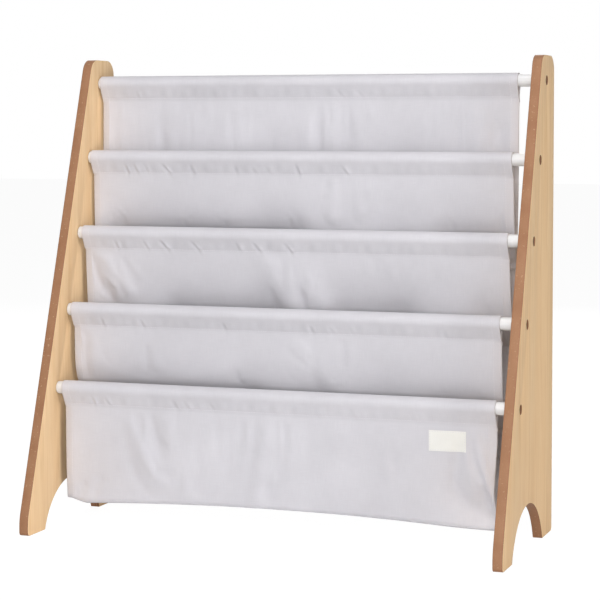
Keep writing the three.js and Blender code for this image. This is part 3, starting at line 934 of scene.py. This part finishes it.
for side_name in ("left", "right"):
    for rod_number in range(1, ROD_COUNT + 1):
        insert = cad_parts[f"rod_insert_{side_name}_{rod_number}"]
        insert.data.materials.clear()
        insert.data.materials.append(insert_brass)


# Lines that the cloth follows, as (y, z) in the plane of the side panels

def between(first, second, share):
    return first + (second - first) * share


def eased(value, low, high):
    """Rises smoothly from 0 to 1 between two values."""
    share = np.clip((value - low) / (high - low), 0, 1)
    return share * share * (3 - 2 * share)


back_top = rods[0].y - CHANNEL_SEAM_DROP
back_drawn = rods[1].y - rod_pitch / 2
back_held = rods[1].y - TOP_POCKET_SHARES["seam"] * rod_pitch
back_foot = lowest_seam_height - SEAM_ALLOWANCE / 2


def back_panel_y(z):
    """The back panel's place at a height. It comes forward below its channel and the top pocket's seam."""
    drawn = 1 - eased(z, back_drawn, back_top)
    low_share = max(back_held - z, 0) / (back_held - back_foot)
    return rods[0].x - rod_step_depth * (BACK_DRAW_SHARE * drawn + BACK_FOOT_DRAW_SHARE * low_share**2)


def sewn_point(z):
    return Vector((back_panel_y(z) - SEWN_GAP, z))


def rounded_line(corners):
    """A line through (corner, radius) pairs with its inner corners rounded."""
    points = [corners[0][0]]
    for (before, _), (corner, radius), (after, _) in zip(corners, corners[1:], corners[2:]):
        start = corner.lerp(before, min(radius / (corner - before).length, 0.5))
        end = corner.lerp(after, min(radius / (corner - after).length, 0.5))
        for k in range(BEND_STEPS + 1):
            share = k / BEND_STEPS
            points.append(start.lerp(corner, share).lerp(corner.lerp(end, share), share))
    points.append(corners[-1][0])
    return np.array([tuple(p) for p in points])


def line_length(points):
    return float(np.linalg.norm(np.diff(points, axis=0), axis=1).sum())


def evenly(points, count):
    """The line with that many points, spaced evenly along it."""
    steps = np.linalg.norm(np.diff(points, axis=0), axis=1)
    along = np.concatenate([[0], np.cumsum(steps)])
    wanted = np.linspace(0, along[-1], count)
    return np.stack([np.interp(wanted, along, points[:, k]) for k in range(2)], axis=1)


def channel_line(axis, thickness):
    """From the tail up behind the rod, over it and down to the seam. Both layers meet in the seam."""
    seam = axis - Vector((0, CHANNEL_SEAM_DROP))
    behind = seam + Vector((2 * thickness + SEAM_GAP, 0))
    tail = behind - Vector((0, CHANNEL_TAIL))
    turn = math.asin(CHANNEL_RADIUS / CHANNEL_SEAM_DROP)
    angles = np.linspace(-turn, math.pi + turn, 2 * BEND_STEPS)
    over = np.array(axis) + CHANNEL_RADIUS * np.stack([np.cos(angles), np.sin(angles)], axis=1)
    return np.vstack([tuple(tail), tuple(behind), over, tuple(seam)])


def pocket_shares(index):
    """A pocket's shares, between those of the top pocket and of the lowest of the upper ones."""
    lowness = index / (LOWEST_POCKET - 1)
    return {key: between(top, LOW_POCKET_SHARES[key], lowness) for key, top in TOP_POCKET_SHARES.items()}


def pocket_line(index, across):
    """A pocket front below its channel: down and back, a bend, and a seam on the back panel."""
    shares = pocket_shares(index)
    axis = rods[index + 1]
    top = axis - Vector((0, CHANNEL_SEAM_DROP))
    seam = sewn_point(axis.y - shares["seam"] * rod_pitch)
    end = sewn_point(seam.y - SEAM_ALLOWANCE)
    twist = 1 + POCKET_TWIST_SHARE * (across - 1 / 2)
    reach = shares["lean"] * (seam.x - axis.x) * twist
    bend = axis + Vector((reach, -shares["bend"] * rod_pitch))
    middle = Vector((axis.x + reach / 3, (top.y + bend.y) / 2))
    rounding = shares["rounding"] * rod_pitch
    corners = [(top, 0), (middle, rounding), (bend, rounding), (seam, SEAM_ALLOWANCE / 2), (end, 0)]
    return rounded_line(corners)


def lowest_line(across):
    """The lowest pocket below its channel: down to the folded edge, then up a floor to the back panel."""
    axis = rods[-1]
    arch = 1 - (2 * across - 1) ** 2
    lifted = CORNER_LIFT * (1 - eased(across, 0, CORNER_LIFT_SHARE))
    fold = Vector((axis.x + LOWEST_LEAN, LOWEST_FOLD_HEIGHT + BOTTOM_EDGE_RISE * arch + lifted))
    top = axis - Vector((0, CHANNEL_SEAM_DROP))
    middle = Vector((fold.x, (top.y + fold.y) / 2))
    seam = sewn_point(lowest_seam_height)
    end = sewn_point(lowest_seam_height + SEAM_ALLOWANCE)
    return rounded_line([
        (top, 0),
        (middle, 2 * LOWEST_FOLD_RADIUS),
        (fold, LOWEST_FOLD_RADIUS),
        (seam, SEAM_ALLOWANCE / 2),
        (end, 0),
    ])


def back_line(_):
    """The back panel below its channel, at any place across."""
    heights = np.linspace(back_top, back_foot, BACK_LINE_STEPS)
    return np.array([(back_panel_y(z), z) for z in heights])


# Sheets of cloth

def hem_share(columns, width):
    """1 where the cloth is turned in for its side hem and 0 between the hems."""
    return 1 - eased(np.minimum(columns, width - columns), HEM_WIDTH - HEM_STEP, HEM_WIDTH)


def grid_mesh(name, points, across, down):
    """A grid of points as a mesh, with the places of its columns and rows as its UV map, in metres."""
    rows, columns = points.shape[:2]
    corner = np.arange(rows * columns).reshape(rows, columns)
    quads = np.stack([corner[:-1, :-1], corner[1:, :-1], corner[1:, 1:], corner[:-1, 1:]], axis=-1)
    places = points.reshape(rows * columns, -1).tolist()
    mesh = mesh_from_lists(name, places, quads.reshape(-1, quads.shape[-1]).tolist())
    layer = mesh.uv_layers.new(name="cloth")
    place = np.zeros(len(mesh.loops), dtype=int)
    mesh.loops.foreach_get("vertex_index", place)
    uv = np.stack([across[place % columns], down[place // columns]], axis=1)
    layer.data.foreach_set("uv", uv.ravel())
    return mesh


class Sheet:
    """A panel of the sling as a grid of points, with rows down its line and columns across it."""

    def __init__(self, node, axis, line_at, step_length):
        low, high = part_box(node)
        self.node = node
        self.axis = axis
        self.width = high.x - low.x
        edge = [0, HEM_WIDTH / 3, HEM_WIDTH * 2 / 3, HEM_STITCH_INSET, HEM_WIDTH - HEM_STEP, HEM_WIDTH]
        inner = self.width - 2 * HEM_WIDTH
        count = round(inner / step_length)
        between_hems = [HEM_WIDTH + inner * k / count for k in range(1, count)]
        self.columns = np.array(edge + between_hems + [self.width - e for e in reversed(edge)])
        self.hem = hem_share(self.columns, self.width)
        thickness = between(CLOTH_THICKNESS, HEM_THICKNESS, self.hem)
        channel_length = line_length(channel_line(axis, CLOTH_THICKNESS))
        hanging_length = line_length(line_at(1 / 2))
        self.length = channel_length + hanging_length
        self.seam_row = round(channel_length / CHANNEL_STEP)
        hanging_rows = round(hanging_length / step_length)
        self.points = np.zeros((self.seam_row + 1 + hanging_rows, len(self.columns), 3))
        for j, place in enumerate(self.columns):
            channel = evenly(channel_line(axis, thickness[j]), self.seam_row + 1)
            hanging = evenly(line_at(place / self.width), hanging_rows + 1)
            self.points[:, j, 0] = low.x + place
            self.points[:, j, 1:] = np.vstack([channel, hanging[1:]])
        self.down = np.concatenate([
            np.linspace(0, channel_length, self.seam_row + 1),
            channel_length + np.linspace(0, hanging_length, hanging_rows + 1)[1:],
        ])

    def held(self, *ranges):
        """How firmly each row is held: 1 where it is sewn or wrapped, down to 0 where it hangs free."""
        rows = np.zeros(len(self.down))
        rows[: self.seam_row + 1] = 1
        for low, high, firmness in ranges:
            rows[low:high] = firmness
        return rows

    def row_at(self, height):
        """The first row below the channel whose middle lies at or below a height."""
        middle = self.points[self.seam_row :, len(self.columns) // 2, 2]
        return self.seam_row + int(np.argmax(middle <= height))

    def mesh(self):
        return grid_mesh(self.node, self.points, self.columns, self.down)


def folded(sheet, folds):
    """Pushes the hanging cloth out along soft ridges, each from one (x, drop) to another."""
    drop = sheet.points[sheet.seam_row, :, 2] - sheet.points[:, :, 2]
    x = sheet.points[:, :, 0]
    push = np.zeros_like(x)
    for x_from, drop_from, x_to, drop_to, width, height in folds:
        run = np.array([x_to - x_from, drop_to - drop_from])
        share = ((x - x_from) * run[0] + (drop - drop_from) * run[1]) / (run @ run)
        share = np.clip(share, 0, 1)
        away = np.hypot(x - x_from - share * run[0], drop - drop_from - share * run[1])
        push += height * np.exp(-((away / width) ** 2))
    free = eased(drop, 0, FOLD_FADE) * (np.arange(len(sheet.down)) > sheet.seam_row)[:, None]
    unsewn = eased(sheet.down[-1] - sheet.down, SEAM_ALLOWANCE, SEAM_ALLOWANCE + FOLD_FADE)[:, None]
    sheet.points[:, :, 1] -= push * free * unsewn


def draped(sheet, held_rows):
    """Lets the cloth hang under its own weight from the rows that are held."""
    piece = linked("draping", sheet.mesh())
    columns = len(sheet.columns)
    group = piece.vertex_groups.new(name="held")
    for row in np.nonzero(held_rows)[0]:
        group.add([int(row) * columns + j for j in range(columns)], float(held_rows[row]), "REPLACE")
    cloth = piece.modifiers.new("cloth", "CLOTH")
    for key, value in CANVAS.items():
        setattr(cloth.settings, key, value)
    cloth.settings.vertex_group_mass = "held"
    cloth.point_cache.frame_start = 1
    cloth.point_cache.frame_end = DRAPE_FRAMES
    scene = bpy.context.scene
    for number in range(1, DRAPE_FRAMES + 1):
        scene.frame_set(number)
    graph = bpy.context.evaluated_depsgraph_get()
    settled = piece.evaluated_get(graph).data
    places = np.zeros(sheet.points.size, dtype=np.float32)
    settled.vertices.foreach_get("co", places)
    sheet.points = places.reshape(sheet.points.shape).astype(float)
    scene.frame_set(1)
    bpy.data.objects.remove(piece)


def finer(values, factor, axis=0):
    """Puts factor - 1 values between each two neighbours, on a smooth curve through them all."""
    given = np.moveaxis(values, axis, 0)
    padded = np.concatenate([2 * given[:1] - given[1:2], given, 2 * given[-1:] - given[-2:-1]])
    before, start, end, after = padded[:-3], padded[1:-2], padded[2:-1], padded[3:]
    steps = []
    for t in (k / factor for k in range(factor)):
        bend = (2 * before - 5 * start + 4 * end - after) * t**2 + (3 * (start - end) + after - before) * t**3
        steps.append(start + ((end - before) * t + bend) / 2)
    made = np.stack(steps, axis=1).reshape(-1, *given.shape[1:])
    return np.moveaxis(np.concatenate([made, given[-1:]]), 0, axis)


def refined(sheet, across, channel, hanging):
    """Makes the sheet's grid finer by whole factors: across, and down in its channel and below it."""
    seam = sheet.seam_row
    upper = finer(sheet.points[: seam + 1], channel)
    lower = finer(sheet.points[seam:], hanging)
    sheet.points = finer(np.concatenate([upper, lower[1:]]), across, axis=1)
    down = [finer(sheet.down[: seam + 1], channel), finer(sheet.down[seam:], hanging)[1:]]
    sheet.down = np.concatenate(down)
    sheet.columns = finer(sheet.columns, across)
    sheet.hem = hem_share(sheet.columns, sheet.width)
    sheet.seam_row = seam * channel


def curled(sheet):
    """Turns the side hems back a little, as a sewn edge does."""
    inset = np.minimum(sheet.columns, sheet.width - sheet.columns)
    curl = (1 - np.clip(inset / HEM_WIDTH, 0, 1)) ** HEM_CURL_POWER
    sheet.points[sheet.seam_row + 1 :, :, 1] += HEM_CURL * curl


def grid_normals(points):
    """The direction that each point of a grid faces, towards the front on a hanging panel."""
    across = np.gradient(points, axis=1)
    down = np.gradient(points, axis=0)
    facing = np.cross(down, across)
    return facing / np.linalg.norm(facing, axis=2, keepdims=True)


def puckered(sheet, creases):
    """Gathers the cloth by its channel's seam: small waves along it, and deeper creases at chosen places."""
    x = sheet.points[:, :, 0]
    above = (sheet.down[sheet.seam_row] - sheet.down)[:, None]
    near = np.exp(-(((above - PUCKER_ABOVE_SEAM) / PUCKER_REACH) ** 2))
    wave = sum(
        share * np.sin(x / length + shift + above * slant)
        for share, length, shift, slant in PUCKER_WAVES
    )
    push = PUCKER_DEPTH * near * wave
    near = np.exp(-(((above - CREASE_ABOVE_SEAM) / CREASE_REACH) ** 2))
    for place, slant, width, height in creases:
        away = (x - place - slant * above) / width
        lip = CREASE_LIP_SHARE * np.exp(-((away - 1) ** 2))
        hollow = np.exp(-((away + CREASE_HOLLOW_SHIFT) ** 2))
        push += height * near * (lip - hollow)
    sewn = 1 - PUCKER_SEWN_SHARE * np.exp(-((above / PUCKER_STITCH_WIDTH) ** 2))
    sheet.points += grid_normals(sheet.points) * (push * sewn)[:, :, None]


def tucked(sheet):
    """Keeps the tail of the channel behind the front of the panel, where the two are sewn."""
    half = sheet.seam_row // 2
    hanging = slice(sheet.seam_row, sheet.row_at(sheet.axis.y - 2 * CHANNEL_SEAM_DROP))
    for j, hemmed in enumerate(sheet.hem):
        front = sheet.points[hanging, j]
        layers = 2 * between(CLOTH_THICKNESS, HEM_THICKNESS, hemmed) + SEAM_GAP
        for row in range(half):
            point = sheet.points[row, j]
            if point[2] <= front[0, 2]:
                point[1] = np.interp(-point[2], -front[:, 2], front[:, 1]) + layers


def kept_before(sheet, behind):
    """Keeps the cloth in front of the sheet behind it, where the two touch."""
    for j, x in enumerate(sheet.points[sheet.seam_row, :, 0]):
        nearest = int(np.argmin(abs(behind.points[behind.seam_row, :, 0] - x)))
        other = behind.points[behind.seam_row :, nearest]
        limit = np.interp(-sheet.points[:, j, 2], -other[:, 2], other[:, 1]) - HEM_THICKNESS - SEAM_GAP
        sheet.points[:, j, 1] = np.minimum(sheet.points[:, j, 1], limit)


def cloth_piece(sheet, name):
    """The sheet as a finished piece with its hems' and cloth's thickness behind its front face."""
    piece = linked(name, sheet.mesh())
    columns = len(sheet.columns)
    group = piece.vertex_groups.new(name="hem")
    for j, hemmed in enumerate(sheet.hem):
        group.add([row * columns + j for row in range(len(sheet.down))], float(hemmed), "REPLACE")
    shell = thickened(piece, HEM_THICKNESS)
    shell.vertex_group = "hem"
    shell.thickness_vertex_group = CLOTH_THICKNESS / HEM_THICKNESS
    shell.use_even_offset = True
    applied(piece)
    piece.vertex_groups.clear()
    piece.data.polygons.foreach_set("use_smooth", [True] * len(piece.data.polygons))
    piece.data.materials.append(sling_cloth)
    return piece


def row_line(sheet, row, out):
    """Points across the sheet along one of its rows, each with the side to sew from."""
    return [(Vector(point), out) for point in sheet.points[row, 1:-1]]


def hem_lines(sheet, side=1):
    """Points down both side hems, on the front of the cloth with side 1 and on its back with side -1."""
    outs = grid_normals(sheet.points) * side
    column = int(np.argmin(abs(sheet.columns - HEM_STITCH_INSET)))
    rows = range(2, len(sheet.down) - 1)
    return [
        [(Vector(sheet.points[row, place]), Vector(outs[row, place])) for row in rows]
        for place in (column, -1 - column)
    ]


def stitched(name, piece, lines, seed):
    """Stitches on a piece's surface along lines of (point, side to sew from) pairs."""
    surface = BVHTree.FromObject(piece, bpy.context.evaluated_depsgraph_get())
    points = []
    edges = []
    for line in lines:
        first = len(points)
        for point, out in line:
            hit, normal, _, _ = surface.ray_cast(point + out * STITCH_SEARCH, -out)
            if hit is not None:
                points.append(hit + normal * STITCH_RAISE)
        edges += [(k, k + 1) for k in range(first, len(points) - 1)]
    return grown_by(stitches, name, mesh_from_lists(name, points, [], edges), thread, Seed=seed)


def declared(piece, sewing, node):
    """Attaches a panel of cloth and its stitches to the root and hides the panel's imported part."""
    finished(piece, "sling_cloth", node)
    finished(sewing, "sling_cloth")


stitches = stitch_tree()


# The back panel of the sling

def back_panel():
    sheet = Sheet("back_panel", rods[0], back_line, BACK_STEP)
    folded(sheet, BACK_FOLDS)
    seams = [sewn_height(index) for index in range(POCKET_COUNT)]
    rows = [sheet.row_at(height) for height in seams]
    draped(sheet, sheet.held(*((row - 1, row + 2, 1) for row in rows), (-2, None, 1)))
    refined(sheet, FINER_ACROSS, FINER_CHANNEL, 1)
    curled(sheet)
    puckered(sheet, BACK_CREASES)
    tucked(sheet)
    piece = cloth_piece(sheet, "sling_back")
    lines = [row_line(sheet, sheet.seam_row, TO_FRONT), row_line(sheet, 1, TO_BACK)]
    lines += [row_line(sheet, sheet.row_at(height), TO_BACK) for height in seams]
    lines += hem_lines(sheet) + hem_lines(sheet, -1)
    sewing = stitched("sling_back_stitches", piece, lines, BACK_STITCH_SEED)
    declared(piece, sewing, "back_panel")
    return sheet


def sewn_height(index):
    """The height at which a pocket front is stitched to the back panel."""
    if index == LOWEST_POCKET:
        return lowest_seam_height + SEAM_ALLOWANCE / 2
    return rods[index + 1].y - pocket_shares(index)["seam"] * rod_pitch - SEAM_ALLOWANCE / 2


back_sheet = back_panel()


# The pocket fronts, from the top

def pocket_front(index):
    node = f"pocket_front_{index + 1}"
    axis = rods[index + 1]
    lowest = index == LOWEST_POCKET
    line_at = lowest_line if lowest else (lambda across: pocket_line(index, across))
    sheet = Sheet(node, axis, line_at, POCKET_STEP)
    folded(sheet, POCKET_FOLDS[index])
    sewn_rows = math.ceil(SEAM_ALLOWANCE / POCKET_STEP)
    if lowest:
        lowest_row = int(np.argmin(sheet.points[:, len(sheet.columns) // 2, 2]))
        first, last = lowest_row - FOLD_HELD_ROWS, lowest_row + FOLD_HELD_ROWS
    else:
        first, last = (sheet.row_at(axis.y - share * rod_pitch) for share in BEND_HELD_SHARES)
    draped(sheet, sheet.held((-sewn_rows, None, 1), (first, last, BEND_FIRMNESS)))
    refined(sheet, FINER_ACROSS, FINER_CHANNEL, 1 if lowest else FINER_POCKET)
    curled(sheet)
    puckered(sheet, POCKET_CREASES[index])
    tucked(sheet)
    kept_before(sheet, back_sheet)
    piece = cloth_piece(sheet, f"sling_pocket_{index + 1}")
    lines = [row_line(sheet, sheet.seam_row, TO_FRONT)] + hem_lines(sheet)
    sewing = stitched(f"sling_pocket_{index + 1}_stitches", piece, lines, POCKET_STITCH_SEED + index)
    declared(piece, sewing, node)
    return piece


pockets = [pocket_front(index) for index in range(POCKET_COUNT)]


# The blank label on the lowest pocket

def label_points(low, across, down):
    """A grid of points a little in front of the pocket, found by looking back from in front of it."""
    surface = BVHTree.FromObject(pockets[-1], bpy.context.evaluated_depsgraph_get())
    points = []
    for z in down:
        for x in across:
            hit, normal, _, _ = surface.ray_cast(Vector((x, low.y - LABEL_SEARCH, z)), TO_BACK)
            points.append(hit + normal * (LABEL_GAP + LABEL_THICKNESS))
    return np.array(points).reshape(LABEL_ROWS, LABEL_COLUMNS, -1)


def label():
    low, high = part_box("blank_label")
    across = np.linspace(low.x, high.x, LABEL_COLUMNS)
    down = np.linspace(high.z, low.z, LABEL_ROWS)
    mesh = grid_mesh("woven_label", label_points(low, across, down), across - low.x, high.z - down)
    piece = linked("woven_label", mesh)
    thickened(piece, LABEL_THICKNESS)
    applied(piece)
    smooth(piece)
    piece.data.materials.append(label_cloth)

    inset = LABEL_STITCH_INSET
    left, right, top, bottom = low.x + inset, high.x - inset, high.z - inset, low.z + inset
    corners = [(left, top), (right, top), (right, bottom), (left, bottom), (left, top)]
    frame_line = []
    for (x_from, z_from), (x_to, z_to) in zip(corners, corners[1:]):
        for k in range(LABEL_ROWS):
            share = k / LABEL_ROWS
            place = Vector((between(x_from, x_to, share), low.y, between(z_from, z_to, share)))
            frame_line.append((place, TO_FRONT))
    sewing = stitched("woven_label_stitches", piece, [frame_line + frame_line[:1]], LABEL_STITCH_SEED)
    finished(piece, "label_cloth", "blank_label")
    finished(sewing, "label_cloth")


label()


# Camera

def photo_camera():
    data = bpy.data.cameras.new("photo_view")
    data.sensor_width = CAMERA_SENSOR
    data.lens = CAMERA_LENS
    data.shift_x = CAMERA_SHIFT_X
    data.shift_y = CAMERA_SHIFT_Y
    camera = linked("photo_view", data)
    level = math.cos(CAMERA_PITCH)
    look = Vector((-math.sin(CAMERA_YAW) * level, math.cos(CAMERA_YAW) * level, math.sin(CAMERA_PITCH)))
    camera.location = CAMERA_PLACE
    camera.rotation_euler = look.to_track_quat("-Z", "Y").to_euler()
    bpy.context.scene.camera = camera


photo_camera()


# Studio: a white surround, a pale floor and soft lamps

def seen_directly(tree):
    """1 for the rays that show the background: from the camera, in a reflection or through glass."""
    rays = add_node(tree, "ShaderNodeLightPath").outputs
    shown = maths(tree, "MAXIMUM", rays["Is Camera Ray"], rays["Is Glossy Ray"])
    return maths(tree, "MAXIMUM", shown, rays["Is Transmission Ray"])


def two_surfaces(tree, output_kind, share, first, second):
    """Ends a tree in a mix of two shaders, the second one by its share."""
    mix = add_node(tree, "ShaderNodeMixShader", {0: share, 1: first.outputs[0], 2: second.outputs[0]})
    add_node(tree, output_kind, {"Surface": mix.outputs[0]})


def surround():
    world = bpy.data.worlds.new("studio")
    world.use_nodes = True
    tree = world.node_tree
    tree.nodes.clear()
    shown = add_node(tree, "ShaderNodeBackground", {"Color": (1, 1, 1, 1)})
    light = {"Color": SURROUND_COLOUR, "Strength": SURROUND_STRENGTH}
    lighting = add_node(tree, "ShaderNodeBackground", light)
    two_surfaces(tree, "ShaderNodeOutputWorld", seen_directly(tree), lighting, shown)
    bpy.context.scene.world = world


def pale_floor():
    half = FLOOR_SIZE / 2
    corners = [(-half, -half, 0), (half, -half, 0), (half, half, 0), (-half, half, 0)]
    floor = linked("studio_floor", mesh_from_lists("studio_floor", corners, [(0, 1, 2, 3)]))
    material = bpy.data.materials.new("studio_floor")
    material.use_nodes = True
    tree = material.node_tree
    tree.nodes.clear()
    matt = add_node(tree, "ShaderNodeBsdfDiffuse", {"Color": FLOOR_COLOUR})
    white = add_node(tree, "ShaderNodeEmission", {"Strength": FLOOR_WHITE})
    share = maths(tree, "MULTIPLY", seen_directly(tree), FLOOR_WHITE_SHARE)
    two_surfaces(tree, "ShaderNodeOutputMaterial", share, matt, white)
    floor.data.materials.append(material)


def soft_lamp(name, place, size, watts):
    """A square lamp that faces the middle of the shelf."""
    data = bpy.data.lights.new(name, "AREA")
    data.size = size
    data.energy = watts
    lamp = linked(name, data)
    lamp.location = place
    aim = Vector((0, 0, panel_high.z / 2)) - lamp.location
    lamp.rotation_euler = aim.to_track_quat("-Z", "Y").to_euler()


surround()
pale_floor()
for lamp in LAMPS:
    soft_lamp(*lamp)
bpy.context.scene.view_settings.view_transform = "Standard"
